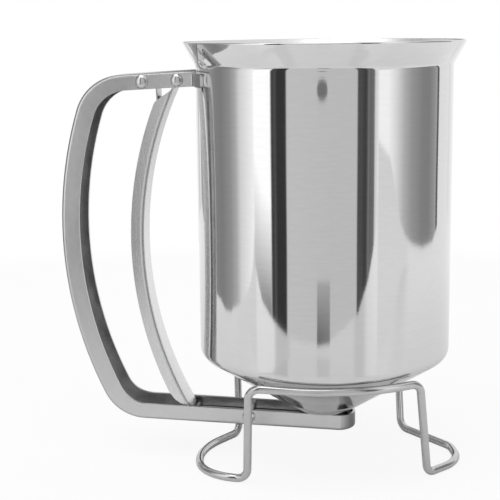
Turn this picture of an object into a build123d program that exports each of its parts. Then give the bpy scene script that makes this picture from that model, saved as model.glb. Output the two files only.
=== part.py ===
from build123d import *
import math
import os

os.makedirs("parts", exist_ok=True)

# A sheet-metal batter dispenser: a flared cup with a funnel bottom hangs on a
# D-shaped channel handle and stands in a bent wire stand. Millimetres, Z up.
# Every piece is drawn round the cup's upright axis (X = 0, Y = 0, floor Z = 0,
# handle toward -X) and moved at the end so that the origin is the middle of
# the footprint.

# ---- driving dimensions ------------------------------------------------------
total_height = 162.0
rim_diameter = 105.0
handle_reach = 100.8

cup_sheet = 0.8
cup_radius = 47.9
flare_height = 8.7
flare_neck_bend = 4.0
funnel_slope = 32.6
funnel_corner_bend = 4.0
funnel_end_radius = 16.4
funnel_end_z = 23.65

channel_width = 15.5
channel_sheet = 1.0
channel_bend = 1.3
grip_arc_radius = 150.0
grip_arc_rise = 8.6
grip_web_height = 7.0
upper_arm_drop = 10.5
upper_arm_slope = 3.0
upper_flange = 5.9
lower_arm_point = (6.0, 12.8)
lower_arm_slope = 2.1
lower_flange = 6.2
top_outer_bend = 19.0
bottom_outer_bend = 18.0
top_inner_bend = 14.0
bottom_inner_bend = 11.4
nose_corner_x = 6.7
nose_reach = 12.3
nose_corner_bend = 2.6
wing_half_span = 23.0
wing_drop = 16.3
wing_height = 5.0
wing_bend_radius = 1.2
weld_seam = 0.05

outlet_radius = 5.0
outlet_sheet = 0.8
saucer_shoulder_radius = 10.4
saucer_flat_radius = 8.0
saucer_flat_z = 19.55
outlet_hole_in_channel = 6.0

rivet_shank_radius = 1.0
rivet_fit = 0.05
rivet_head_height = 1.4
pivot_from_cup = 6.7
pivot_drop = 14.1
pivot_head_radius = 2.5
spring_from_pivot = 13.3
spring_drop = 14.6
spring_head_radius = 2.65
guide_point = (-28.9, 17.68)
guide_head_radius = 2.6

lever_width = 12.0
lever_sheet = 1.0
lever_flange = 5.0
lever_arc_radius = 136.0
lever_arc_rise = 2.8
lever_arc_shift = 0.25
lever_eye_wall = 0.8
lever_tongue_width = 5.0
lever_foot_z = 19.5
lever_foot_corner = 3.0
lever_tongue_z = 17.82
lever_shoulder_low = (7.7, 7.2)
lever_shoulder_high = (1.4, 3.0)
lever_shoulder_bend = 4.0

leaf_sheet = 0.5
leaf_width = 9.0
leaf_gap = 0.45
leaf_knee = (4.2, 0.8)
leaf_neck = (5.0, 2.8)
leaf_drop = 14.2
leaf_tip = (1.3, 2.8)
leaf_bend = 1.2

gate_sheet = 1.0
gate_width = 12.0
gate_lift = 0.3
gate_nose_x = 8.6
gate_lug_height = 2.2
gate_lug_gap = 0.8

wire_radius = 1.5
stand_yaw = 10.4
stand_shift = (1.8, 0.3)
stand_seat_gap = 0.3
stand_half_length = 33.9
stand_foot_half_width = 26.8
stand_top_half_width = 38.3
stand_bow_inset = 2.1
stand_bow_half_length = 12.0
stand_right_loop = (49.1, 1.1, -14.9)
stand_left_loop = (51.1, 6.8, -20.3)
stand_right_bends = (11.1, 18.3)
stand_left_bends = (35.5, 18.6)
stand_front_lean = 5.6
stand_corner_bend = 5.0
stand_bow_bend = 50.0

# ---- derived values ----------------------------------------------------------
rim_radius = rim_diameter / 2
half_width = channel_width / 2
funnel_tan = math.tan(math.radians(funnel_slope))
funnel_cos = math.cos(math.radians(funnel_slope))
lower_tan = math.tan(math.radians(lower_arm_slope))
upper_tan = math.tan(math.radians(upper_arm_slope))
lower_arm_z = lower_arm_point[1]
upper_arm_point = (-cup_radius, total_height - upper_arm_drop)
grip_center_z = (upper_arm_point[1] + lower_arm_z) / 2 + grip_arc_rise
grip_center = (grip_arc_radius - handle_reach, grip_center_z)
wing_bottom_z = total_height - wing_drop
pivot_point = (-cup_radius - pivot_from_cup, total_height - pivot_drop)
spring_point = (pivot_point[0] - spring_from_pivot, total_height - spring_drop)
lever_middle_z = (pivot_point[1] + lever_foot_z) / 2 + lever_arc_rise
lever_half_height = pivot_point[1] - lever_middle_z
lever_run = math.sqrt(lever_arc_radius**2 - lever_half_height**2)
lever_center = (pivot_point[0] + lever_run + lever_arc_shift, lever_middle_z)
stand_bow_half_width = cup_radius - stand_bow_inset
channel_inner_width = channel_width - 2 * channel_sheet
open_top_x = -0.6 * cup_radius
open_low_x = 0.6 * cup_radius
back_x = -1.2 * handle_reach
seat_radius = stand_bow_half_width - stand_seat_gap


def funnel_z(radius):
    """Height of the funnel's outer surface at a distance from the axis."""
    return funnel_end_z + (radius - funnel_end_radius) * funnel_tan


def lower_z(x):
    """Height of the lower arm's underside."""
    return lower_arm_point[1] + (lower_arm_point[0] - x) * lower_tan


def upper_z(x):
    """Height of the upper arm's top face."""
    return upper_arm_point[1] + (x - upper_arm_point[0]) * upper_tan


def slab(face, width):
    """A side face given a width, half to each side of the middle plane."""
    return extrude(face, amount=width / 2, both=True)


def turned(profile):
    """A profile drawn in (radius, height), turned round the cup axis."""
    return revolve(Plane.XZ * profile, axis=Axis.Z, revolution_arc=360)


def strip(points, bend, thickness):
    """Sheet metal seen edge on: a bent centre line given its thickness."""
    return trace(FilletPolyline(*points, radius=bend), line_width=thickness)


stand_top_z = funnel_z(seat_radius) - (wire_radius + stand_seat_gap) / funnel_cos


# ---- cup ---------------------------------------------------------------------
def build_cup_body():
    """Flared rim, straight wall and funnel, drawn from one blank."""
    half = cup_sheet / 2
    flare_angle = math.atan2(rim_radius - cup_radius, flare_height)
    neck_shift = half * math.tan(flare_angle / 2)
    corner_shift = half * math.tan(math.radians(90 - funnel_slope) / 2)
    neck_z = total_height - flare_height
    rim = (
        rim_radius - half * math.cos(flare_angle),
        total_height + half * math.sin(flare_angle),
    )
    neck = (cup_radius - half, neck_z + neck_shift)
    corner = (cup_radius - half, funnel_z(cup_radius) + corner_shift)
    end_radius = funnel_end_radius
    end = (end_radius, funnel_z(end_radius) + half / funnel_cos)
    sheet = turned(strip([rim, neck, corner, end], flare_neck_bend, cup_sheet))
    level = Pos(0, 0, total_height + 5) * Box(200, 200, 10)
    return sheet - level


def saucer_profile(thickness):
    """Edge view of the outlet saucer, butt welded to the funnel's lower end."""
    rise = outlet_sheet / 2 / funnel_cos
    top_radius = funnel_end_radius - weld_seam * funnel_cos
    neck_radius = outlet_radius + outlet_sheet / 2
    points = [
        (top_radius, funnel_z(top_radius) + rise),
        (saucer_shoulder_radius, funnel_z(saucer_shoulder_radius) + rise),
        (saucer_flat_radius, saucer_flat_z),
        (neck_radius, saucer_flat_z),
        (neck_radius, outlet_neck_z()),
    ]
    return strip(points, 0.6, thickness)


def gate_top_z(x):
    """Height of the gate's upper face, which runs along the lower arm."""
    return lower_z(x) + channel_sheet + gate_lift + gate_sheet


def outlet_neck_z():
    """Lower end of the outlet's short neck, just above the gate."""
    return gate_top_z(-outlet_radius - outlet_sheet) + 0.25


def build_outlet_saucer():
    return turned(saucer_profile(outlet_sheet))


# ---- handle channel ----------------------------------------------------------
def d_face(inset, top_drop, low_rise, top_bend, low_bend):
    """Side view of the D: two straight arms, the round back and its bends."""
    arm_top = top_drop / math.cos(math.radians(upper_arm_slope))
    arm_low = low_rise / math.cos(math.radians(lower_arm_slope))
    outline = Polyline(
        (open_top_x, upper_z(open_top_x) - arm_top),
        (back_x, upper_z(back_x) - arm_top),
        (back_x, lower_z(back_x) + arm_low),
        (open_low_x, lower_z(open_low_x) + arm_low),
        close=True,
    )
    back = Pos(*grip_center) * Circle(grip_arc_radius - inset)
    shape = make_face(outline) & back
    corners = shape.vertices().sort_by(Axis.X)[0:2].sort_by(Axis.Y)
    shape = fillet(corners[1], top_bend)
    corners = [v for v in shape.vertices() if v.X < open_top_x and v.Y < grip_center[1]]
    return fillet(min(corners, key=lambda v: v.X), low_bend)


def plan_face(inset):
    """The channel from above: straight sides and a rounded closed nose."""
    y = half_width - inset
    sides = Polyline((nose_corner_x, -y), (back_x, -y), (back_x, y), (nose_corner_x, y))
    nose = ThreePointArc((nose_corner_x, y), (nose_reach - inset, 0), (nose_corner_x, -y))
    shape = make_face([sides, nose])
    corners = [v for v in shape.vertices() if v.X > 0]
    return fillet(corners, nose_corner_bend - inset)


def is_bend_edge(edge):
    """True for the long edges where web and flanges meet, nose included."""
    middle = edge @ 0.5
    along = edge % 0.5
    straight = edge.geom_type == GeomType.LINE
    across = straight and abs(along.Y) > 0.9
    upright = straight and middle.X > 0 and abs(along.Z) > 0.9
    rise = upper_z(open_top_x) - lower_z(open_low_x)
    fall = (upper_z(open_top_x) - middle.Z) / rise
    open_x = open_top_x + (open_low_x - open_top_x) * fall
    return not (across or upright or middle.X > open_x - 2.0)


def bent_slab(inset):
    """A solid D of the channel's outside (or inside) with its bends."""
    side = d_face(inset, inset, inset, top_outer_bend - inset, bottom_outer_bend - inset)
    body = slab(Plane.XZ * side, 2 * channel_width)
    body = body & extrude(plan_face(inset), amount=2 * total_height)
    edges = [edge for edge in body.edges() if is_bend_edge(edge)]
    return fillet(edges, channel_bend - inset)


def weld_wings():
    """Flange ends bent outward and laid on the cup wall for welding."""
    inner = cup_radius + weld_seam
    outer = inner + channel_sheet
    ring = Cylinder(outer, 2 * total_height) - Cylinder(inner, 2 * total_height)
    sheet = RectangleRounded(2 * wing_half_span, wing_height, 1.4)
    band = extrude(Plane.YZ * sheet, amount=-2 * cup_radius)
    middle_z = wing_bottom_z + wing_height / 2
    gap = Box(4 * cup_radius, channel_inner_width, 2 * wing_height)
    return (ring & Pos(0, 0, middle_z) * band) - Pos(0, 0, middle_z) * gap


def build_handle_channel():
    """One U channel bent into a D: grip, welded upper arm, lower arm, nose."""
    free = d_face(grip_web_height, upper_flange, lower_flange, top_inner_bend, bottom_inner_bend)
    channel = bent_slab(0.0) - bent_slab(channel_sheet)
    channel -= slab(Plane.XZ * free, 2 * channel_width)
    cup_room = Cylinder(cup_radius + weld_seam, total_height)
    channel -= Pos(0, 0, funnel_z(cup_radius) + total_height / 2) * cup_room
    channel += weld_wings()
    channel += wing_bend(1) + wing_bend(-1)
    outlet_hole = Rot(0, lower_arm_slope, 0) * Cylinder(outlet_hole_in_channel, 4)
    channel -= Pos(0, 0, lower_z(0)) * outlet_hole
    channel -= turned(saucer_profile(outlet_sheet + 2 * weld_seam))
    channel -= Pos(0, 0, saucer_flat_z + 5) * Cylinder(saucer_flat_radius, 10)
    for point in (pivot_point, spring_point, guide_point):
        channel -= cross_bar(point, rivet_shank_radius + rivet_fit, 2 * channel_width)
    return channel


def wing_bend(side):
    """Rounded inside corner where a flange turns outward into its wing."""
    outer = cup_radius + weld_seam + channel_sheet
    bend_y = half_width + wing_bend_radius
    bend_x = -math.sqrt((outer + wing_bend_radius) ** 2 - bend_y**2)
    height = upper_z(bend_x) - channel_bend - wing_bottom_z
    wall_x = -cup_radius - channel_sheet / 2
    corner = Rectangle(wall_x - bend_x, wing_bend_radius)
    corner = Pos((bend_x + wall_x) / 2, side * (half_width + bend_y) / 2) * corner
    corner -= Pos(bend_x, side * bend_y) * Circle(wing_bend_radius)
    return Pos(0, 0, wing_bottom_z) * extrude(corner, amount=height)


# ---- rivets ------------------------------------------------------------------
def build_rivet(point, head_radius):
    """Shank through both flanges with a domed head on each side."""
    head_sphere = (head_radius**2 + rivet_head_height**2) / (2 * rivet_head_height)
    dome = Pos(0, 0, rivet_head_height - head_sphere) * Sphere(head_sphere)
    dome = dome & Pos(0, 0, head_sphere) * Box(20, 20, 2 * head_sphere)
    rivet = Cylinder(rivet_shank_radius, channel_width)
    rivet += Pos(0, 0, half_width) * dome
    rivet += Pos(0, 0, -half_width) * (Rot(180, 0, 0) * dome)
    return Pos(point[0], 0, point[1]) * (Rot(90, 0, 0) * rivet)


# ---- trigger lever -----------------------------------------------------------
def lever_band(near, far, low_z, high_z):
    """Side view of a slice of the lever between two radii and two heights."""
    ring = Circle(lever_arc_radius + far) - Circle(lever_arc_radius + near)
    window = Rectangle(handle_reach, high_z - low_z)
    return (Pos(*lever_center) * ring) & Pos(-handle_reach / 2, (low_z + high_z) / 2) * window


def flange_side():
    """Side view of a flange: diagonal shoulder above, curved taper below."""
    low = (pivot_point[0] - lever_shoulder_low[0], pivot_point[1] - lever_shoulder_low[1])
    high = (pivot_point[0] - lever_shoulder_high[0], pivot_point[1] - lever_shoulder_high[1])
    slope = (high[1] - low[1]) / (high[0] - low[0])
    foot_x = lever_middle_x(lever_foot_z)
    window = make_face(
        Polyline(
            (back_x, low[1] + slope * (back_x - low[0])),
            (open_top_x, low[1] + slope * (open_top_x - low[0])),
            (open_top_x, lever_foot_z + 0.1 * lever_flange),
            (foot_x - 0.3 * lever_flange, lever_foot_z + 0.1 * lever_flange),
            (foot_x - 1.3 * lever_flange, lever_foot_z + 0.8 * lever_flange),
            (foot_x - 2.1 * lever_flange, lever_foot_z + 1.9 * lever_flange),
            (back_x, lever_foot_z + 4 * lever_flange),
            close=True,
        )
    )
    side = lever_band(0, lever_flange, 0, total_height) & window
    upper = [v for v in side.vertices() if v.Y > lever_center[1]]
    return fillet(min(upper, key=lambda v: v.X), lever_shoulder_bend)


def lever_middle_x(z):
    """Where the middle of the web's thickness runs at height z."""
    radius = lever_arc_radius + lever_sheet / 2
    return lever_center[0] - math.sqrt(radius**2 - (z - lever_center[1]) ** 2)


def build_trigger_lever():
    """Channel-shaped trigger hung from the pivot rivet by a rolled eye."""
    thick = lever_sheet
    outer = slab(Plane.XZ * flange_side(), lever_width)
    bends = [e for e in outer.edges() if is_lever_bend(e, lever_width / 2, 0.0)]
    outer = fillet(bends, 1.5)
    hollow = lever_band(thick, 2 * lever_flange, 0, total_height)
    inner = slab(Plane.XZ * hollow, lever_width - 2 * thick)
    bends = [e for e in inner.edges() if is_lever_bend(e, lever_width / 2 - thick, thick)]
    lever = outer - fillet(bends, 0.5)
    web = slab(Plane.XZ * lever_band(0, thick, 0, pivot_point[1]), lever_width)
    lever += web & extrude(Plane.YZ * web_outline(), amount=-handle_reach)
    eye_radius = rivet_shank_radius + rivet_fit + lever_eye_wall
    lever += cross_bar(pivot_point, eye_radius, lever_width - 1.0)
    lever -= cross_bar(pivot_point, rivet_shank_radius + rivet_fit, 2 * lever_width)
    tongue_height = lever_foot_z + 0.9 * thick - lever_tongue_z
    tongue = Box(thick, lever_tongue_width, tongue_height)
    return lever + Pos(lever_tongue_x, 0, lever_tongue_z + tongue_height / 2) * tongue


def web_outline():
    """Front view of the web, rounded at the corners of its lower end."""
    height = total_height - lever_foot_z
    plate = RectangleRounded(lever_width - 1.0, height, lever_foot_corner)
    return Pos(0, lever_foot_z + height / 2) * plate


def is_lever_bend(edge, y, near):
    """True for the long edges between the lever's web and its flanges."""
    middle = edge @ 0.5
    center = Vector(lever_center[0], 0, lever_center[1])
    radius = (Vector(middle.X, 0, middle.Z) - center).length
    on_web = abs(radius - lever_arc_radius - near) < 0.01
    return on_web and abs(abs(middle.Y) - y) < 0.01


lever_tongue_x = lever_middle_x(lever_foot_z + 0.1 * lever_sheet)


# ---- return spring -----------------------------------------------------------
def build_return_spring():
    """Leaf with an eye on its rivet, its free end pressing on the trigger."""
    eye_middle = rivet_shank_radius + rivet_fit + leaf_sheet / 2
    x, z = spring_point
    contact_z = z - leaf_drop
    points = [
        (x, z + eye_middle),
        (x + leaf_knee[0], z + leaf_knee[1]),
        (x + leaf_neck[0], z - leaf_neck[1]),
        (leaf_contact_x(contact_z), contact_z),
        (leaf_contact_x(contact_z) - leaf_tip[0], contact_z - leaf_tip[1]),
    ]
    leaf = slab(Plane.XZ * strip(points, leaf_bend, leaf_sheet), leaf_width)
    leaf += cross_bar(spring_point, eye_middle + leaf_sheet / 2, leaf_width)
    return leaf - cross_bar(spring_point, eye_middle - leaf_sheet / 2, 2 * leaf_width)


def leaf_contact_x(z):
    """Where the leaf's middle runs beside the trigger's web at height z."""
    away = lever_sheet / 2 + leaf_gap + leaf_sheet / 2
    return lever_middle_x(z) - away


# ---- gate --------------------------------------------------------------------
def build_gate_slide():
    """Strip that closes the outlet, with two lugs round the lever's tongue."""
    half_gap = lever_sheet / 2 + gate_lug_gap
    tail_x = lever_tongue_x - half_gap - gate_sheet / 2
    lift = channel_sheet + gate_lift + gate_sheet / 2
    rise = gate_lug_height + gate_sheet / 2
    middle = [
        (gate_nose_x, lower_z(gate_nose_x) + lift),
        (tail_x, lower_z(tail_x) + lift),
        (tail_x, lower_z(tail_x) + lift + rise),
    ]
    strip_side = slab(Plane.XZ * strip(middle, 1.2, gate_sheet), gate_width)
    nose_y = gate_width / 2
    nose = Pos(gate_nose_x - nose_y, 0) * Circle(nose_y)
    tail = Pos(gate_nose_x - nose_y - 50, 0) * Rectangle(100, gate_width)
    gate = strip_side & extrude(nose + tail, amount=50)
    lug_x = lever_tongue_x + half_gap + gate_sheet / 2
    lug_base = gate_top_z(lug_x) - gate_sheet / 2
    lug_height = gate_lug_height + gate_sheet / 2
    lug = Box(gate_sheet, lever_tongue_width + 2, lug_height)
    return gate + Pos(lug_x, 0, lug_base + lug_height / 2) * lug


# ---- wire stand --------------------------------------------------------------
def stand_half(side):
    """Corner points and bend radii of one end of the stand, front to back."""
    x = side * stand_half_length
    loop = stand_right_loop if side > 0 else stand_left_loop
    bends = stand_right_bends if side > 0 else stand_left_bends
    front_lean = stand_front_lean if side > 0 else 0.0
    return [
        (side * stand_bow_half_length, -stand_bow_half_width, stand_top_z, stand_bow_bend),
        (x - front_lean, -stand_top_half_width, stand_top_z, stand_corner_bend),
        (x, -stand_foot_half_width, wire_radius, stand_corner_bend),
        (side * loop[0], loop[2], wire_radius, bends[1]),
        (side * loop[0], loop[1], wire_radius, bends[0]),
        (x, stand_foot_half_width, wire_radius, stand_corner_bend),
        (x, stand_top_half_width, stand_top_z, stand_corner_bend),
        (side * stand_bow_half_length, stand_bow_half_width, stand_top_z, stand_bow_bend),
    ]


def closed_wire(corners):
    """Edges of a closed path of straight runs joined by round bends."""
    edges = []
    starts = []
    ends = []
    for index, corner in enumerate(corners):
        here = Vector(*corner[:3])
        back = (Vector(*corners[index - 1][:3]) - here).normalized()
        ahead = (Vector(*corners[(index + 1) % len(corners)][:3]) - here).normalized()
        half = math.radians(back.get_angle(ahead)) / 2
        cut = corner[3] / math.tan(half)
        center = here + (back + ahead).normalized() * (corner[3] / math.sin(half))
        middle = center + (here - center).normalized() * corner[3]
        starts.append(here + back * cut)
        ends.append(here + ahead * cut)
        edges.append(ThreePointArc(starts[-1], middle, ends[-1]))
        if index:
            edges.append(Line(ends[index - 1], starts[index]))
    edges.append(Line(ends[-1], starts[0]))
    return edges


def build_wire_stand():
    """One closed length of wire: two seat bars, four legs, two floor loops."""
    corners = stand_half(1) + stand_half(-1)[::-1]
    stand = Part()
    for edge in closed_wire(corners):
        section = Plane(origin=edge @ 0, z_dir=edge % 0) * Circle(wire_radius)
        stand += sweep(section, path=edge)
    return Pos(*stand_shift) * (Rot(0, 0, stand_yaw) * stand)


# ---- assembly ----------------------------------------------------------------
def cross_bar(point, radius, width):
    """A round bar along Y through a point of the side view."""
    return Pos(point[0], 0, point[1]) * (Rot(90, 0, 0) * Cylinder(radius, width))


pieces = {
    "cup_body": build_cup_body(),
    "outlet_saucer": build_outlet_saucer(),
    "handle_channel": build_handle_channel(),
    "pivot_rivet": build_rivet(pivot_point, pivot_head_radius),
    "spring_rivet": build_rivet(spring_point, spring_head_radius),
    "guide_rivet": build_rivet(guide_point, guide_head_radius),
    "trigger_lever": build_trigger_lever(),
    "return_spring": build_return_spring(),
    "gate_slide": build_gate_slide(),
    "wire_stand": build_wire_stand(),
}

stand_right = pieces["wire_stand"].bounding_box().max.X
axis_x = (handle_reach - stand_right) / 2

for name, shape in pieces.items():
    placed = Pos(axis_x, 0, 0) * shape
    placed.label = name
    export_step(placed, f"parts/{name}.step")
    box = placed.bounding_box()
    print(name, placed.is_valid, len(placed.solids()), round(placed.volume, 1), box)
print("cup axis at X =", round(axis_x, 3))
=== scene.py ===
import math

import bmesh
import bpy
from mathutils import Matrix, Vector


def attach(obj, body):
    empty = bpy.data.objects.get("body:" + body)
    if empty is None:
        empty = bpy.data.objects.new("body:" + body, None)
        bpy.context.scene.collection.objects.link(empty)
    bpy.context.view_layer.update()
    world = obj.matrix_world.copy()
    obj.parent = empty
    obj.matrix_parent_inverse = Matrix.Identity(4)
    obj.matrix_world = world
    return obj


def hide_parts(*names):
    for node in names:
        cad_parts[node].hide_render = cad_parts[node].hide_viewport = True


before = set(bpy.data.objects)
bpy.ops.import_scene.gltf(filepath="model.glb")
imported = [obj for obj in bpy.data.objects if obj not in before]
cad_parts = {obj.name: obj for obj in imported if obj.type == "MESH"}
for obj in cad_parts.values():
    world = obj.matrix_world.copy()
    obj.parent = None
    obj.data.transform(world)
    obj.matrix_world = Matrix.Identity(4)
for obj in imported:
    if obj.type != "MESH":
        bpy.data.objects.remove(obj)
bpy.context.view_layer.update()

# ---- Cup ---------------------------------------------------------------------
# The cup is one spun blank of 0.8 mm stainless sheet: flared rim, straight wall
# and funnel, mirror polished outside and satin inside. Its lower end is butt
# welded to the outlet saucer; the handle is welded to its wall.
MM = 0.001
CUP_AXIS_X = 23.913
CUP_HEIGHT = 162.0
CUP_RIM_RADIUS = 52.5
CUP_RIM_INSET = 0.1
CUP_RIM_DROP = 0.45
CUP_FLARE_HEIGHT = 8.7
CUP_RADIUS = 47.9
CUP_SHEET = 0.8
CUP_BEND = 4.0
CUP_SIDES = 256
FUNNEL_SLOPE = math.radians(32.6)
FUNNEL_CORNER_Z = 43.8
FUNNEL_END_RADIUS = 16.7


def funnel_z(radius):
    """Height of the funnel's outer side at a radius."""
    return FUNNEL_CORNER_Z - (CUP_RADIUS - radius) * math.tan(FUNNEL_SLOPE)


def funnel_middle(radius):
    """Radius and height of a point in the middle of the funnel's sheet."""
    return (radius, funnel_z(radius) + CUP_SHEET / 2 / math.cos(FUNNEL_SLOPE))


def bent_line(points, bends, steps=10, guard=0.0):
    """A polyline with rounded corners; guard points keep straight runs shaded flat."""
    vectors = [Vector(point) for point in points]
    line = [vectors[0]]
    for index in range(1, len(vectors) - 1):
        corner = vectors[index]
        radius = bends[index - 1]
        back = (vectors[index - 1] - corner).normalized()
        ahead = (vectors[index + 1] - corner).normalized()
        half_angle = back.angle(ahead) / 2
        start = corner + back * (radius / math.tan(half_angle))
        end = corner + ahead * (radius / math.tan(half_angle))
        center = corner + (back + ahead).normalized() * (radius / math.sin(half_angle))
        if guard:
            line.append(start + back * guard)
        for step in range(steps + 1):
            arm = (start - center).lerp(end - center, step / steps).normalized() * radius
            line.append(center + arm)
        if guard:
            line.append(end + ahead * guard)
    line.append(vectors[-1])
    return line


LIP_STEPS = 5
LIP_SHRINK = 0.999


def round_lip(middle, first):
    """Half a circle, a hair small, round the end of a sheet from beside its first point."""
    lip = []
    for step in range(1, LIP_STEPS):
        turned = Matrix.Rotation(-math.pi * step / LIP_STEPS, 2)
        lip.append(middle + turned @ (first - middle) * LIP_SHRINK)
    return lip


def sheet_section(line, thickness):
    """Closed outline of a sheet cut across, whose middle follows the line."""
    left, right = [], []
    for index, point in enumerate(line):
        before = line[max(index - 1, 0)]
        after = line[min(index + 1, len(line) - 1)]
        along = (after - before).normalized()
        side = Vector((-along.y, along.x)) * (thickness / 2)
        left.append(point + side)
        right.append(point - side)
    return left + round_lip(line[-1], left[-1]) + right[::-1] + round_lip(line[0], right[0])


def put_in_scene(name, data):
    """An object for a mesh, lamp or camera, linked to the scene at the origin."""
    thing = bpy.data.objects.new(name, data)
    bpy.context.scene.collection.objects.link(thing)
    return thing


def lathe(name, outline, sides, material, inside_material=None, inside=()):
    """Turns a closed outline of radius and height in mm round the cup's axis."""
    mesh = bpy.data.meshes.new(name)
    verts, faces = [], []
    for index in range(sides):
        angle = 2 * math.pi * index / sides
        for radius, height in outline:
            x = CUP_AXIS_X + radius * math.cos(angle)
            verts.append((x * MM, radius * math.sin(angle) * MM, height * MM))
    size = len(outline)
    for index in range(sides):
        here, there = index * size, (index + 1) % sides * size
        for step in range(size):
            step_on = (step + 1) % size
            faces.append((here + step, there + step, there + step_on, here + step_on))
    mesh.from_pydata(verts, [], faces)
    mesh.materials.append(material)
    if inside_material:
        mesh.materials.append(inside_material)
        for index, polygon in enumerate(mesh.polygons):
            if index % size in inside:
                polygon.material_index = 1
    work = bmesh.new()
    work.from_mesh(mesh)
    bmesh.ops.recalc_face_normals(work, faces=work.faces)
    work.to_mesh(mesh)
    work.free()
    mesh.polygons.foreach_set("use_smooth", [True] * len(mesh.polygons))
    return put_in_scene(name, mesh)


NODE_SPACING = 200.0


def add(tree, kind, inputs=None, **settings):
    """A node right of the others; each input is fed by a socket or set to a value."""
    node = tree.nodes.new(kind)
    node.location.x = NODE_SPACING * len(tree.nodes)
    for key, value in settings.items():
        setattr(node, key, value)
    for key, value in (inputs or {}).items():
        if isinstance(value, bpy.types.NodeSocket):
            tree.links.new(value, node.inputs[key])
        else:
            node.inputs[key].default_value = value
    return node


def calculate(tree, operation, *values, **settings):
    """The result of a math node whose inputs are given in order."""
    inputs = dict(enumerate(values))
    return add(tree, "ShaderNodeMath", inputs, operation=operation, **settings).outputs[0]


def measure(tree, operation, *vectors):
    """The result of a vector math node: a vector, or a number for a length or dot product."""
    inputs = dict(enumerate(vectors))
    node = add(tree, "ShaderNodeVectorMath", inputs, operation=operation)
    return next(socket for socket in node.outputs if socket.enabled)


def mix(tree, kind, factor, first, second, **settings):
    """The first value where the factor is zero, the second where it is one."""
    inputs = {"Factor": factor, "A": first, "B": second}
    return add(tree, "ShaderNodeMix", inputs, data_type=kind, **settings).outputs["Result"]


def new_group(name, inputs):
    """An empty shader group and the sockets of its named inputs."""
    group = bpy.data.node_groups.new(name, "ShaderNodeTree")
    for label, default in inputs.items():
        kind = "NodeSocketVector" if isinstance(default, tuple) else "NodeSocketFloat"
        socket = group.interface.new_socket(label, in_out="INPUT", socket_type=kind)
        socket.default_value = default
    return group, add(group, "NodeGroupInput").outputs


def close_group(group, **outputs):
    """Names what the group puts out, and feeds it."""
    for label, socket in outputs.items():
        kind = "NodeSocketVector" if socket.type == "VECTOR" else "NodeSocketFloat"
        group.interface.new_socket(label, in_out="OUTPUT", socket_type=kind)
    add(group, "NodeGroupOutput", outputs)
    return group


def build_grain_group():
    """Fine directional grain: a roughness that varies and a height for bump."""
    group, given = new_group(
        "polishing grain",
        {
            "Stretch": (400.0, 400.0, 400.0),
            "Base Roughness": 0.2,
            "Roughness Spread": 0.1,
            "Smudge Scale": 40.0,
            "Smudge": 0.05,
            "Smoothest": 0.02,
        },
    )
    where = add(group, "ShaderNodeTexCoord").outputs["Object"]
    drawn = measure(group, "MULTIPLY", where, given["Stretch"])
    fine = {"Vector": drawn, "Scale": 1.0, "Detail": 4.0, "Roughness": 0.65}
    lines = add(group, "ShaderNodeTexNoise", fine).outputs["Fac"]
    broad = {"Vector": where, "Scale": given["Smudge Scale"], "Detail": 3.0}
    cloud = add(group, "ShaderNodeTexNoise", broad).outputs["Fac"]
    lined = calculate(
        group, "MULTIPLY_ADD", lines, given["Roughness Spread"], given["Base Roughness"]
    )
    smudged = calculate(group, "ADD", lined, calculate(group, "MULTIPLY", cloud, given["Smudge"]))
    rough = calculate(group, "MAXIMUM", smudged, given["Smoothest"])
    return close_group(group, Roughness=rough, Height=lines)


def build_edge_group():
    """Soft normals over sharp edges and a mask of the edges themselves."""
    group, given = new_group("rounded edges", {"Radius": 0.0003, "Sharpness": 6.0})
    soft = add(group, "ShaderNodeBevel", {"Radius": given["Radius"]}, samples=4).outputs[0]
    hard = add(group, "ShaderNodeNewGeometry").outputs["Normal"]
    unlike = calculate(group, "SUBTRACT", 1.0, measure(group, "DOT_PRODUCT", soft, hard))
    mask = calculate(group, "MULTIPLY", unlike, given["Sharpness"], use_clamp=True)
    return close_group(group, Edge=mask, Normal=soft)


grain_group = build_grain_group()
edge_group = build_edge_group()

GRAIN_DEPTH = 0.2
GRAIN_SHADE = 0.9
BRIGHTEST_PAINTED_EDGE = 0.9


def grey(tone):
    return (tone, tone, tone, 1.0)


def new_material(name):
    """A material without nodes, and its node tree."""
    material = bpy.data.materials.new(name)
    material.use_nodes = True
    material.node_tree.nodes.clear()
    return material, material.node_tree


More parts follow.
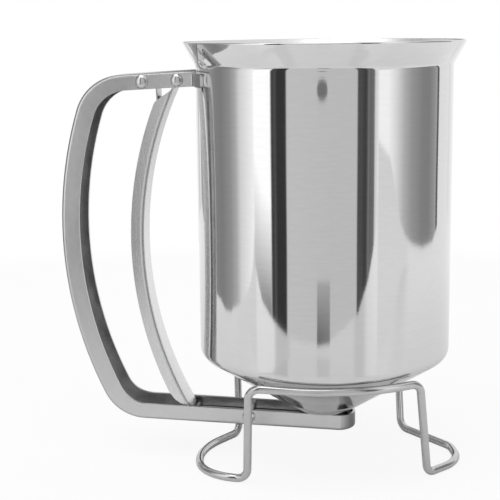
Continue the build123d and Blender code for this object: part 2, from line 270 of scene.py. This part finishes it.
def metal(name, tone, stretch, rough, spread, smudge, bump, wave=None, edge=None, painted_edge_light=1.3):
    """Bare metal with polishing grain and smudges; waviness and edges with painted light if asked.

    Stretch is how fine the grain is along X, Y and Z. A smudge is given as scale and
    strength, a wave as scale and depth in mm, and an edge as its radius in mm."""
    material, tree = new_material(name)
    grain_values = {
        "Stretch": stretch,
        "Base Roughness": rough,
        "Roughness Spread": spread,
        "Smudge Scale": smudge[0],
        "Smudge": smudge[1],
    }
    grain = add(tree, "ShaderNodeGroup", grain_values, node_tree=grain_group).outputs
    color = mix(tree, "RGBA", grain["Height"], grey(tone * GRAIN_SHADE), grey(tone))
    scratches = {"Height": grain["Height"], "Strength": bump, "Distance": GRAIN_DEPTH * MM}
    relief = add(tree, "ShaderNodeBump", scratches)
    if wave:
        where = add(tree, "ShaderNodeTexCoord").outputs["Object"]
        slow = {"Vector": where, "Scale": wave[0], "Detail": 1.0}
        swell = add(tree, "ShaderNodeTexNoise", slow).outputs["Fac"]
        sway = {"Height": swell, "Strength": 1.0, "Distance": wave[1] * MM}
        waved = add(tree, "ShaderNodeBump", sway).outputs["Normal"]
        tree.links.new(waved, relief.inputs["Normal"])
    # Along the edges the colour is painted light: a tone factor above one paints a highlight, below
    # one paints shade.
    if edge:
        edge_lines = add(tree, "ShaderNodeGroup", {"Radius": edge * MM}, node_tree=edge_group).outputs
        painted_edge_tone = grey(min(tone * painted_edge_light, BRIGHTEST_PAINTED_EDGE))
        color = mix(tree, "RGBA", edge_lines["Edge"], color, painted_edge_tone)
        tree.links.new(edge_lines["Normal"], relief.inputs["Normal"])
    finish = {
        "Metallic": 1.0,
        "Base Color": color,
        "Roughness": grain["Roughness"],
        "Normal": relief.outputs["Normal"],
    }
    surface = add(tree, "ShaderNodeBsdfPrincipled", finish).outputs[0]
    add(tree, "ShaderNodeOutputMaterial", {"Surface": surface})
    return material


polished = metal(
    "mirror polished steel", tone=0.72, stretch=(150.0, 150.0, 900.0), rough=0.03, spread=0.03,
    smudge=(25.0, 0.03), bump=0.01, wave=(14.0, 0.3),
)
satin_inside = metal(
    "satin inside of the cup", tone=0.72, stretch=(200.0, 200.0, 4000.0), rough=0.22, spread=0.12,
    smudge=(30.0, 0.08), bump=0.06,
)

half_sheet = CUP_SHEET / 2
flare_angle = math.atan2(CUP_RIM_RADIUS - CUP_RADIUS, CUP_FLARE_HEIGHT)
flare_mitre = half_sheet * math.tan(flare_angle / 2)
funnel_mitre = half_sheet * math.tan((math.pi / 2 - FUNNEL_SLOPE) / 2)
rim_x = CUP_RIM_RADIUS - half_sheet * math.cos(flare_angle) - CUP_RIM_INSET
cup_line = bent_line(
    [
        (rim_x, CUP_HEIGHT - CUP_RIM_DROP),
        (CUP_RADIUS - half_sheet, CUP_HEIGHT - CUP_FLARE_HEIGHT + flare_mitre),
        (CUP_RADIUS - half_sheet, FUNNEL_CORNER_Z + funnel_mitre),
        funnel_middle(FUNNEL_END_RADIUS),
    ],
    [CUP_BEND, CUP_BEND],
    guard=0.4,
)
first_inner = len(cup_line) + LIP_STEPS - 1
cup = lathe(
    "cup_skin", sheet_section(cup_line, CUP_SHEET), CUP_SIDES, polished,
    inside_material=satin_inside, inside=range(first_inner, first_inner + len(cup_line)),
)
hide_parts("cup_body")
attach(cup, "cup")

# ---- Outlet saucer -----------------------------------------------------------
# A shallow spun dish butt welded to the funnel, with a short neck that lets the
# batter down on the gate. Stainless sheet, welded to the handle's lower arm.
SAUCER_SHEET = 0.8
SAUCER_RIM_RADIUS = 16.05
SAUCER_SHOULDER_RADIUS = 10.4
SAUCER_FLAT_RADIUS = 8.0
SAUCER_FLAT_Z = 19.55
SAUCER_BEND = 0.6
SAUCER_SIDES = 128
NECK_RADIUS = 5.4
NECK_END_Z = 16.2

saucer_line = bent_line(
    [
        funnel_middle(SAUCER_RIM_RADIUS),
        funnel_middle(SAUCER_SHOULDER_RADIUS),
        (SAUCER_FLAT_RADIUS, SAUCER_FLAT_Z),
        (NECK_RADIUS, SAUCER_FLAT_Z),
        (NECK_RADIUS, NECK_END_Z),
    ],
    [SAUCER_BEND, SAUCER_BEND, SAUCER_BEND],
    guard=0.2,
)
saucer_outline = sheet_section(saucer_line, SAUCER_SHEET)
saucer = lathe("outlet_saucer_skin", saucer_outline, SAUCER_SIDES, polished)
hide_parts("outlet_saucer")
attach(saucer, "cup")

# ---- Handle channel ----------------------------------------------------------
# One strip of 1 mm sheet pressed into a U and bent into a D, satin brushed along
# its length. Its upper ends are turned out and welded on the cup wall.
CHANNEL_INNER_WIDTH = 13.3
GRIP_MIDDLE_FROM_CUP = 50.0
GRIP_MIDDLE_Z = 85.0
FACING_INWARD = -0.5
RIPPLE_SCALE = 90.0
RIPPLE_DEPTH = 0.6


def build_inner_side_group():
    """One on the hollow side of a bent channel, zero on its outside and rims."""
    group, given = new_group(
        "hollow side of a channel", {"Center": (0.0, 0.0, 0.0), "Inner Width": 0.0135}
    )
    where = add(group, "ShaderNodeTexCoord").outputs
    place = add(group, "ShaderNodeSeparateXYZ", {0: where["Object"]}).outputs
    facing = add(group, "ShaderNodeSeparateXYZ", {0: where["Normal"]}).outputs
    outward = calculate(group, "MULTIPLY", calculate(group, "SIGN", place["Y"]), facing["Y"])
    flange = calculate(group, "LESS_THAN", outward, FACING_INWARD)
    toward = measure(group, "SUBTRACT", given["Center"], where["Object"])
    turned_in = measure(group, "DOT_PRODUCT", toward, where["Normal"])
    faces_center = calculate(group, "GREATER_THAN", turned_in, 0.0)
    half_inner = calculate(group, "MULTIPLY", given["Inner Width"], 0.5)
    within = calculate(group, "LESS_THAN", calculate(group, "ABSOLUTE", place["Y"]), half_inner)
    web = calculate(group, "MULTIPLY", faces_center, within)
    return close_group(group, Inside=calculate(group, "MAXIMUM", flange, web))


def build_fold_group():
    """One along the folds between web and flanges, zero on the flat faces."""
    group, given = new_group("folds of a channel", {"Strength": 4.0})
    where = add(group, "ShaderNodeTexCoord").outputs
    facing = add(group, "ShaderNodeSeparateXYZ", {0: where["Normal"]}).outputs
    lean = calculate(group, "ABSOLUTE", facing["Y"])
    arch = calculate(group, "MULTIPLY", lean, calculate(group, "SUBTRACT", 1.0, lean))
    mask = calculate(group, "MULTIPLY", arch, given["Strength"], use_clamp=True)
    return close_group(group, Fold=mask)


inner_side_group = build_inner_side_group()
fold_group = build_fold_group()


def lay_over(material, mask, tone, rough, **settings):
    """Gives a metal another tone and roughness where the mask is one."""
    tree = material.node_tree
    surface = tree.nodes["Principled BSDF"].inputs
    old_color = surface["Base Color"].links[0].from_socket
    old_rough = surface["Roughness"].links[0].from_socket
    new_color = mix(tree, "RGBA", mask, old_color, grey(tone), **settings)
    new_rough = mix(tree, "FLOAT", mask, old_rough, rough)
    tree.links.new(new_color, surface["Base Color"])
    tree.links.new(new_rough, surface["Roughness"])


def paint_shade_on_folds(material, share, rough):
    """Paints shade along the folds by darkening them, and makes them rougher."""
    fold = add(material.node_tree, "ShaderNodeGroup", node_tree=fold_group).outputs["Fold"]
    lay_over(material, fold, share, rough, blend_type="MULTIPLY")


def mill_finish_and_shade_inside(material, center, inner_width, tone, rough):
    """Gives the hollow side the plain, slightly wavy mill finish of the strip; its darker tone is
    painted shade.
    """
    tree = material.node_tree
    hollow = {"Center": center, "Inner Width": inner_width}
    inside = add(tree, "ShaderNodeGroup", hollow, node_tree=inner_side_group).outputs["Inside"]
    lay_over(material, inside, tone, rough)
    where = add(tree, "ShaderNodeTexCoord").outputs["Object"]
    slow = {"Vector": where, "Scale": RIPPLE_SCALE, "Detail": 1.5}
    ripple = add(tree, "ShaderNodeTexNoise", slow).outputs["Fac"]
    height = calculate(tree, "MULTIPLY", ripple, inside)
    normal = tree.nodes["Principled BSDF"].inputs["Normal"]
    old_normal = normal.links[0].from_socket
    wavy = {"Height": height, "Distance": RIPPLE_DEPTH * MM, "Normal": old_normal}
    dented = add(tree, "ShaderNodeBump", wavy).outputs["Normal"]
    tree.links.new(dented, normal)


def dress(node_name, material):
    """Gives a solid of the frame one material."""
    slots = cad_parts[node_name].data.materials
    slots.clear()
    slots.append(material)


# Its edges are darkened with painted shade.
satin = metal(
    "satin brushed steel", tone=0.67, stretch=(500.0, 3000.0, 500.0), rough=0.22, spread=0.12,
    smudge=(60.0, 0.06), bump=0.1, edge=0.3, painted_edge_light=0.6,
)
# Painted shade along the folds.
paint_shade_on_folds(satin, share=0.4, rough=0.4)
grip_middle = ((CUP_AXIS_X - GRIP_MIDDLE_FROM_CUP) * MM, 0.0, GRIP_MIDDLE_Z * MM)
# The hollow side's darker tone is painted shade; its smoother, wavy finish is real.
mill_finish_and_shade_inside(satin, grip_middle, CHANNEL_INNER_WIDTH * MM, tone=0.55, rough=0.2)
dress("handle_channel", satin)

# ---- Rivets ------------------------------------------------------------------
# Three tumbled steel rivets with low domed heads cross the channel: one carries
# the spring, one the trigger, one holds the gate down.
# Their edges are lightened with a painted highlight.
rivet_steel = metal(
    "tumbled rivet steel", tone=0.6, stretch=(900.0, 900.0, 900.0), rough=0.12, spread=0.08,
    smudge=(200.0, 0.08), bump=0.1, edge=0.2,
)
for rivet in ("pivot_rivet", "spring_rivet", "guide_rivet"):
    dress(rivet, rivet_steel)

# ---- Trigger -----------------------------------------------------------------
# A shallow U lever of the same satin sheet, hung from the pivot rivet; its web
# faces the cup and its tongue drives the gate.
# Its tone is lighter than the handle's satin: painted light on the web that faces the cup.
lightened_lever_satin = metal(
    "satin trigger steel", tone=0.78, stretch=(1200.0, 1200.0, 80.0), rough=0.2, spread=0.08,
    smudge=(60.0, 0.06), bump=0.02,
)
# Painted shade along the folds.
paint_shade_on_folds(lightened_lever_satin, share=0.4, rough=0.4)
dress("trigger_lever", lightened_lever_satin)

# ---- Spring and gate ---------------------------------------------------------
# A leaf of spring steel on its own rivet returns the trigger. A satin strip that
# slides in the handle's lower arm closes the outlet.
spring_steel = metal(
    "bright spring steel", tone=0.6, stretch=(300.0, 3000.0, 300.0), rough=0.2, spread=0.1,
    smudge=(80.0, 0.05), bump=0.08,
)
dress("return_spring", spring_steel)
dress("gate_slide", satin)

# ---- Wire stand --------------------------------------------------------------
# One closed length of 3 mm polished wire: two bowed seat bars, four legs and a
# floor loop at each end, butt welded on the front bar. The cup only rests on it.
WIRE_RADIUS = 1.5
WIRE_SIDES = 32
STAND_YAW = math.radians(10.4)
STAND_SHIFT = (1.8, 0.3)
STAND_SEAT_GAP = 0.3
STAND_HALF_LENGTH = 33.9
STAND_FOOT_HALF_WIDTH = 26.8
STAND_TOP_HALF_WIDTH = 38.3
STAND_CORNER_BEND = 5.0
STAND_BOW_INSET = 2.1
STAND_BOW_HALF_WIDTH = CUP_RADIUS - STAND_BOW_INSET
STAND_BOW_HALF_LENGTH = 12.0
STAND_BOW_BEND = 50.0
seat_z = funnel_z(STAND_BOW_HALF_WIDTH - STAND_SEAT_GAP)
bar_z = seat_z - (WIRE_RADIUS + STAND_SEAT_GAP) / math.cos(FUNNEL_SLOPE)


def stand_half(side, reach, back, front, lean):
    """Corners of one end of the stand, front to back, each with its bend radius.

    Back and front are the floor loop's corners, and lean is how far the front leg tips in."""
    bow_x = side * STAND_BOW_HALF_LENGTH
    leg_x = side * STAND_HALF_LENGTH
    return [
        (bow_x, -STAND_BOW_HALF_WIDTH, bar_z, STAND_BOW_BEND),
        (leg_x - lean, -STAND_TOP_HALF_WIDTH, bar_z, STAND_CORNER_BEND),
        (leg_x, -STAND_FOOT_HALF_WIDTH, WIRE_RADIUS, STAND_CORNER_BEND),
        (side * reach, front[0], WIRE_RADIUS, front[1]),
        (side * reach, back[0], WIRE_RADIUS, back[1]),
        (leg_x, STAND_FOOT_HALF_WIDTH, WIRE_RADIUS, STAND_CORNER_BEND),
        (leg_x, STAND_TOP_HALF_WIDTH, bar_z, STAND_CORNER_BEND),
        (bow_x, STAND_BOW_HALF_WIDTH, bar_z, STAND_BOW_BEND),
    ]


def build_wire_tree():
    """Gives a closed path of edges a round section of the named radius."""
    tree = bpy.data.node_groups.new("wire along path", "GeometryNodeTree")
    for label, way, kind in (
        ("Geometry", "INPUT", "NodeSocketGeometry"),
        ("Radius", "INPUT", "NodeSocketFloat"),
        ("Sides", "INPUT", "NodeSocketInt"),
        ("Material", "INPUT", "NodeSocketMaterial"),
        ("Geometry", "OUTPUT", "NodeSocketGeometry"),
    ):
        tree.interface.new_socket(label, in_out=way, socket_type=kind)
    given = add(tree, "NodeGroupInput").outputs
    curve = add(tree, "GeometryNodeMeshToCurve", {0: given["Geometry"]}).outputs[0]
    circle = {"Resolution": given["Sides"], "Radius": given["Radius"]}
    ring = add(tree, "GeometryNodeCurvePrimitiveCircle", circle).outputs[0]
    sweep = {"Curve": curve, "Profile Curve": ring}
    tube = add(tree, "GeometryNodeCurveToMesh", sweep).outputs[0]
    smooth = add(tree, "GeometryNodeSetShadeSmooth", {"Geometry": tube}).outputs[0]
    real = add(tree, "GeometryNodeRealizeInstances", {0: smooth}).outputs[0]
    coat = {"Geometry": real, "Material": given["Material"]}
    coated = add(tree, "GeometryNodeSetMaterial", coat).outputs[0]
    add(tree, "NodeGroupOutput", {0: coated})
    return tree


def grown(name, mesh, tree, values):
    """Applies a geometry tree with its named inputs and returns the plain result."""
    seed = put_in_scene(name + " seed", mesh)
    modifier = seed.modifiers.new("tree", "NODES")
    modifier.node_group = tree
    for socket in tree.interface.items_tree:
        if socket.in_out == "INPUT" and socket.name in values:
            modifier[socket.identifier] = values[socket.name]
    graph = bpy.context.evaluated_depsgraph_get()
    result = bpy.data.meshes.new_from_object(seed.evaluated_get(graph))
    bpy.data.objects.remove(seed)
    return put_in_scene(name, result)


polished_wire = metal(
    "polished wire", tone=0.58, stretch=(500.0, 500.0, 500.0), rough=0.1, spread=0.06,
    smudge=(150.0, 0.08), bump=0.08,
)

corners = stand_half(1, reach=49.1, back=(1.1, 11.1), front=(-14.9, 18.3), lean=5.6)
corners += stand_half(-1, reach=51.1, back=(6.8, 35.5), front=(-20.3, 18.6), lean=0.0)[::-1]
weld = (Vector(corners[0][:3]) + Vector(corners[-1][:3])) / 2
wire_points = [weld] + [corner[:3] for corner in corners] + [weld]
wire_line = bent_line(wire_points, [corner[3] for corner in corners], steps=14)[:-1]
stand_turn = Matrix.Rotation(STAND_YAW, 3, "Z")
stand_place = Vector((STAND_SHIFT[0] + CUP_AXIS_X, STAND_SHIFT[1], 0))
path = bpy.data.meshes.new("stand path")
path.from_pydata(
    [(stand_turn @ point + stand_place) * MM for point in wire_line],
    [(index, (index + 1) % len(wire_line)) for index in range(len(wire_line))],
    [],
)
stand = grown(
    "wire_stand_skin", path, build_wire_tree(),
    {"Radius": WIRE_RADIUS * MM, "Sides": WIRE_SIDES, "Material": polished_wire},
)
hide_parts("wire_stand")
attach(stand, "stand")

# ---- Floor -------------------------------------------------------------------
# A white painted table that keeps a faint shadow of the object. Its front is
# waxed, which only the metal sees, and a camera below looks through it. Its
# sizes are in metres.
FLOOR_HALF = 9.0
PAINT_TONE = 0.9
PAINT_GLOW = 0.02
CAMERA_WHITENESS = 0.88
PAINT_WITHIN = 0.12
WHITE_BEYOND = 0.5
WAX_ROUGHNESS = 0.12
WAX_IOR = 1.9
WAX_FULL_Y = -0.14
WAX_END_Y = -0.06
SEEING_RAYS = ("Is Camera Ray", "Is Glossy Ray", "Is Transmission Ray")


def ray_share(tree, *rays):
    """One for the named kinds of ray, otherwise zero."""
    light_path = add(tree, "ShaderNodeLightPath").outputs
    share = light_path[rays[0]]
    for ray in rays[1:]:
        share = calculate(tree, "MAXIMUM", share, light_path[ray])
    return share


def fade(tree, value, start, end, low=0.0, high=1.0):
    """Goes softly from low to high while the value goes from start to end."""
    inputs = {"Value": value, "From Min": start, "From Max": end, "To Min": low, "To Max": high}
    node = add(tree, "ShaderNodeMapRange", inputs, interpolation_type="SMOOTHSTEP")
    return node.outputs[0]


def mix_shaders(tree, factor, first, second):
    """The first shader where the factor is zero, the second where it is one."""
    return add(tree, "ShaderNodeMixShader", {0: factor, 1: first, 2: second}).outputs[0]


def build_table_material():
    """White paint that keeps shadows near the object, with wax over it for the metal."""
    material, tree = new_material("white table")
    where = add(tree, "ShaderNodeTexCoord").outputs["Object"]
    to_eye = ray_share(tree, "Is Camera Ray")
    to_metal = ray_share(tree, "Is Glossy Ray")
    seen = ray_share(tree, *SEEING_RAYS)

    paint = add(tree, "ShaderNodeBsdfDiffuse", {"Color": grey(PAINT_TONE)}).outputs[0]
    level = calculate(tree, "MULTIPLY", seen, PAINT_GLOW)
    glow = add(tree, "ShaderNodeEmission", {"Strength": level}).outputs[0]
    lit = add(tree, "ShaderNodeAddShader", {0: paint, 1: glow}).outputs[0]
    away = fade(tree, measure(tree, "LENGTH", where), PAINT_WITHIN, WHITE_BEYOND)
    far = calculate(tree, "MULTIPLY", away, seen)
    faint = calculate(tree, "MULTIPLY", to_eye, CAMERA_WHITENESS)
    white = add(tree, "ShaderNodeEmission").outputs[0]
    table = mix_shaders(tree, calculate(tree, "MAXIMUM", far, faint), lit, white)

    across = add(tree, "ShaderNodeSeparateXYZ", {0: where}).outputs["Y"]
    waxed = fade(tree, across, WAX_FULL_Y, WAX_END_Y, 1.0, 0.0)
    fresnel = add(tree, "ShaderNodeFresnel", {"IOR": WAX_IOR}).outputs[0]
    gloss = calculate(tree, "MULTIPLY", fresnel, waxed)
    wax = add(tree, "ShaderNodeBsdfGlossy", {"Roughness": WAX_ROUGHNESS}).outputs[0]
    coated = mix_shaders(tree, calculate(tree, "MULTIPLY", gloss, to_metal), table, wax)

    underside = add(tree, "ShaderNodeNewGeometry").outputs["Backfacing"]
    clear = add(tree, "ShaderNodeBsdfTransparent").outputs[0]
    sheer = mix_shaders(tree, calculate(tree, "MULTIPLY", underside, to_eye), coated, clear)
    add(tree, "ShaderNodeOutputMaterial", {"Surface": sheer})
    return material


floor_mesh = bpy.data.meshes.new("floor")
floor_mesh.from_pydata(
    [(x * FLOOR_HALF, y * FLOOR_HALF, 0) for x, y in ((-1, -1), (1, -1), (1, 1), (-1, 1))],
    [],
    [(0, 1, 2, 3)],
)
floor_mesh.materials.append(build_table_material())
floor_thing = put_in_scene("floor", floor_mesh)

# ---- Studio panels -----------------------------------------------------------
# Upright light and dark panels stand on arcs round the cup, and only the metal
# sees them. Their feet are cut to curves, like the edge of a round table.
PANEL_TOP = 600.0
PANEL_RISE = 60.0
KNEE_SHARE = 0.9
STRIPS_PER_DEGREE = 2
LEAST_STRIPS = 16


def between(stops, at):
    """Value at a place on a row of (place, value) stops; a plain number holds everywhere."""
    if isinstance(stops, (int, float)):
        return stops
    for (left, low), (right, high) in zip(stops, stops[1:]):
        if at <= right:
            return low + (high - low) * max(at - left, 0.0) / (right - left)
    return stops[-1][1]


def build_panel_material():
    """Glows with the tone that each panel's own colour layer gives."""
    material, tree = new_material("studio panel")
    tone = add(tree, "ShaderNodeVertexColor", layer_name="tone").outputs["Color"]
    glow = add(tree, "ShaderNodeEmission", {"Color": tone}).outputs[0]
    add(tree, "ShaderNodeOutputMaterial", {"Surface": glow})
    return material


panel_glow = build_panel_material()


def panel(name, distance, tones, feet, tops=PANEL_TOP, dims=1.0, rise=PANEL_RISE):
    """An upright panel on an arc round the cup; distances and heights in mm.

    Tones, feet, tops and dims are stops of (bearing, value); bearing 0 is the front, 90 the
    right. At the foot the tone is multiplied by dims, and it is full above the rise."""
    mesh = bpy.data.meshes.new(name)
    first, last = tones[0][0], tones[-1][0]
    count = max(round((last - first) * STRIPS_PER_DEGREE), LEAST_STRIPS)
    verts, faces, shades = [], [], []
    for index in range(count + 1):
        bearing = first + (last - first) * index / count
        x = CUP_AXIS_X + distance * math.sin(math.radians(bearing))
        y = -distance * math.cos(math.radians(bearing))
        foot, top = between(feet, bearing), between(tops, bearing)
        knee = min(foot + rise, foot + (top - foot) * KNEE_SHARE)
        verts += [(x * MM, y * MM, z * MM) for z in (foot, knee, top)]
        tone = between(tones, bearing)
        shades += [tone * between(dims, bearing), tone, tone]
    for base in range(0, count * 3, 3):
        faces.append((base, base + 3, base + 4, base + 1))
        faces.append((base + 1, base + 4, base + 5, base + 2))
    mesh.from_pydata(verts, [], faces)
    layer = mesh.color_attributes.new("tone", "FLOAT_COLOR", "POINT")
    for index, shade in enumerate(shades):
        layer.data[index].color = grey(shade)
    mesh.materials.append(panel_glow)
    thing = put_in_scene(name, mesh)
    thing.visible_camera = False
    thing.visible_shadow = False
    thing.visible_diffuse = False


# Pale in the middle, with a dark band and a white sheet on either side.
panel(
    "front_panel", distance=255.0,
    tones=[
        (-54.8, 1.45), (-39.6, 1.45), (-39.2, 0.05), (-37.8, 0.05), (-36.4, 0.1), (-35.0, 0.09),
        (-34.2, 0.045), (-26.6, 0.045), (-26.2, 0.74), (10.0, 0.7), (29.2, 0.7), (29.6, 0.07),
        (31.5, 0.1), (33.8, 0.09), (34.8, 0.065), (36.7, 0.07), (37.8, 0.15), (38.4, 0.28),
        (39.2, 0.17), (43.0, 0.2), (43.8, 0.85), (47.0, 1.1),
    ],
    feet=[
        (-54.8, 44.0), (-48.4, 23.7), (-39.4, 14.7), (-28.3, 7.3), (-15.9, 3.6), (-3.8, 2.9),
        (8.1, 4.6), (20.0, 10.9), (30.5, 18.0), (33.8, 25.4), (38.7, 35.8), (42.7, 51.6),
        (45.2, 62.0), (47.0, 80.0),
    ],
    dims=[(-54.8, 0.5), (-48.0, 0.25), (-40.0, 0.18), (-39.2, 1.0), (47.0, 1.0)],
)

# Farther out, mirrored in the waxed table beyond the front panel's foot.
panel(
    "far_panel", distance=900.0,
    tones=[
        (-58.0, 1.5), (-41.5, 1.5), (-38.5, 0.35), (-28.0, 0.35), (-25.0, 0.8), (28.0, 0.8),
        (31.0, 0.35), (37.0, 0.4), (41.0, 1.2), (50.0, 1.5),
    ],
    feet=1.0, tops=1500.0,
)

# A short post and an oval in front of the pale middle.
panel(
    "dark_post", distance=250.0,
    tones=[(-2.2, 0.5), (8.0, 0.5)], feet=[(-2.2, 3.0), (8.0, 4.0)], tops=37.0,
    dims=[(-2.2, 0.3), (8.0, 0.5)], rise=30.0,
)
OVAL_BEARING = 1.75
OVAL_HALF_TURN = 4.2
OVAL_Z = 135.0
OVAL_HALF_HEIGHT = 5.5
OVAL_TONE = 0.2
OVAL_STEPS = 12


def oval_edge(side):
    """Stops along the oval's lower edge, side -1, or its upper edge, side 1."""
    stops = []
    for step in range(OVAL_STEPS, -1, -1):
        turn = math.pi * step / OVAL_STEPS
        bearing = OVAL_BEARING + OVAL_HALF_TURN * math.cos(turn)
        stops.append((bearing, OVAL_Z + side * OVAL_HALF_HEIGHT * math.sin(turn)))
    return stops


oval_ends = (OVAL_BEARING - OVAL_HALF_TURN, OVAL_BEARING + OVAL_HALF_TURN)
panel(
    "dark_oval", distance=250.0,
    tones=[(bearing, OVAL_TONE) for bearing in oval_ends], feet=oval_edge(-1), tops=oval_edge(1),
)

# Grey on the handle's side, with a low tip that brings its round foot nearer.
panel(
    "left_panel", distance=322.0,
    tones=[
        (-135.0, 0.5), (-112.0, 0.4), (-101.0, 0.3), (-93.0, 0.28), (-82.0, 0.38), (-75.0, 0.56),
        (-70.0, 0.9), (-62.0, 1.1), (-55.0, 1.3),
    ],
    feet=[
        (-135.0, 60.0), (-112.0, 16.0), (-102.0, 4.7), (-90.0, 0.5), (-79.5, 0.5), (-70.0, 4.2),
        (-61.2, 16.1), (-58.2, 28.0), (-55.0, 60.0),
    ],
)
panel(
    "left_panel_tip", distance=309.0,
    tones=[(-99.0, 0.29), (-93.0, 0.28), (-82.0, 0.38), (-77.0, 0.5)],
    feet=[(-99.0, 8.0), (-90.0, 0.5), (-82.0, 0.5), (-77.0, 9.0)], tops=30.0,
)

# Grey with a dark edge on the right, and white with one dark strip behind.
panel(
    "right_panel", distance=520.0,
    tones=[
        (47.0, 1.25), (58.0, 1.25), (66.0, 0.95), (74.0, 0.6), (82.0, 0.42), (95.0, 0.3),
        (104.0, 0.29), (112.0, 0.4), (115.5, 0.5), (116.2, 0.12), (119.0, 0.12),
    ],
    feet=[
        (47.0, 85.0), (60.0, 70.0), (70.5, 21.3), (77.1, 10.1), (83.9, 4.8), (96.5, 0.8),
        (111.0, 3.4), (119.0, 14.1),
    ],
)
panel(
    "back_panel", distance=420.0,
    tones=[
        (140.0, 0.9), (150.0, 1.0), (182.0, 1.0), (184.0, 0.12), (199.0, 0.1), (201.0, 0.9),
        (205.0, 1.1), (218.0, 0.6),
    ],
    feet=[(140.0, 40.0), (160.0, 14.0), (180.0, 6.0), (200.0, 12.0), (218.0, 40.0)],
)

# ---- Light and camera --------------------------------------------------------
# An even white surrounding and one big round lamp overhead light the object. The
# camera stands in front, a little to the right, and looks slightly down. Places
# are in metres.
SURROUND_LIGHT = 0.7
LAMP_DIAMETER = 1.2
LAMP_POWER = 7.0
LAMP_PLACE = Vector((-0.3, -0.5, 1.4))
LAMP_TARGET = Vector((0.0, 0.0, 0.1))
CAMERA_PLACE = Vector((0.049873, -0.45477, 0.16831))
CAMERA_YAW = math.radians(6.84)
CAMERA_DIP = math.radians(10.63)
CAMERA_ROLL = math.radians(-0.65)
CAMERA_LENS = 86.78
CAMERA_SENSOR = 36.0
CAMERA_NEAREST = 0.01

world = bpy.data.worlds.new("studio")
bpy.context.scene.world = world
world.use_nodes = True
surround = world.node_tree.nodes["Background"].inputs
surround["Color"].default_value = grey(1.0)
seen = ray_share(world.node_tree, *SEEING_RAYS)
strength = fade(world.node_tree, seen, 0.0, 1.0, low=SURROUND_LIGHT)
world.node_tree.links.new(strength, surround["Strength"])

lamp_data = bpy.data.lights.new("overhead softbox", "AREA")
lamp_data.shape = "DISK"
lamp_data.size = LAMP_DIAMETER
lamp_data.energy = LAMP_POWER
lamp = put_in_scene("overhead softbox", lamp_data)
lamp.location = LAMP_PLACE
lamp.rotation_euler = (LAMP_PLACE - LAMP_TARGET).to_track_quat("Z", "Y").to_euler()

right = Vector((math.cos(CAMERA_YAW), math.sin(CAMERA_YAW), 0))
level = math.cos(CAMERA_DIP)
ahead = Vector((-math.sin(CAMERA_YAW) * level, math.cos(CAMERA_YAW) * level, -math.sin(CAMERA_DIP)))
up = right.cross(ahead)
rolled_right = right * math.cos(CAMERA_ROLL) + up * math.sin(CAMERA_ROLL)
rolled_up = up * math.cos(CAMERA_ROLL) - right * math.sin(CAMERA_ROLL)
basis = Matrix((rolled_right, rolled_up, -ahead)).transposed()
camera_data = bpy.data.cameras.new("camera")
camera_data.sensor_width = CAMERA_SENSOR
camera_data.lens = CAMERA_LENS
camera_data.clip_start = CAMERA_NEAREST
camera = put_in_scene("camera", camera_data)
camera.matrix_world = Matrix.Translation(CAMERA_PLACE) @ basis.to_4x4()
bpy.context.scene.camera = camera
bpy.context.scene.view_settings.view_transform = "Standard"
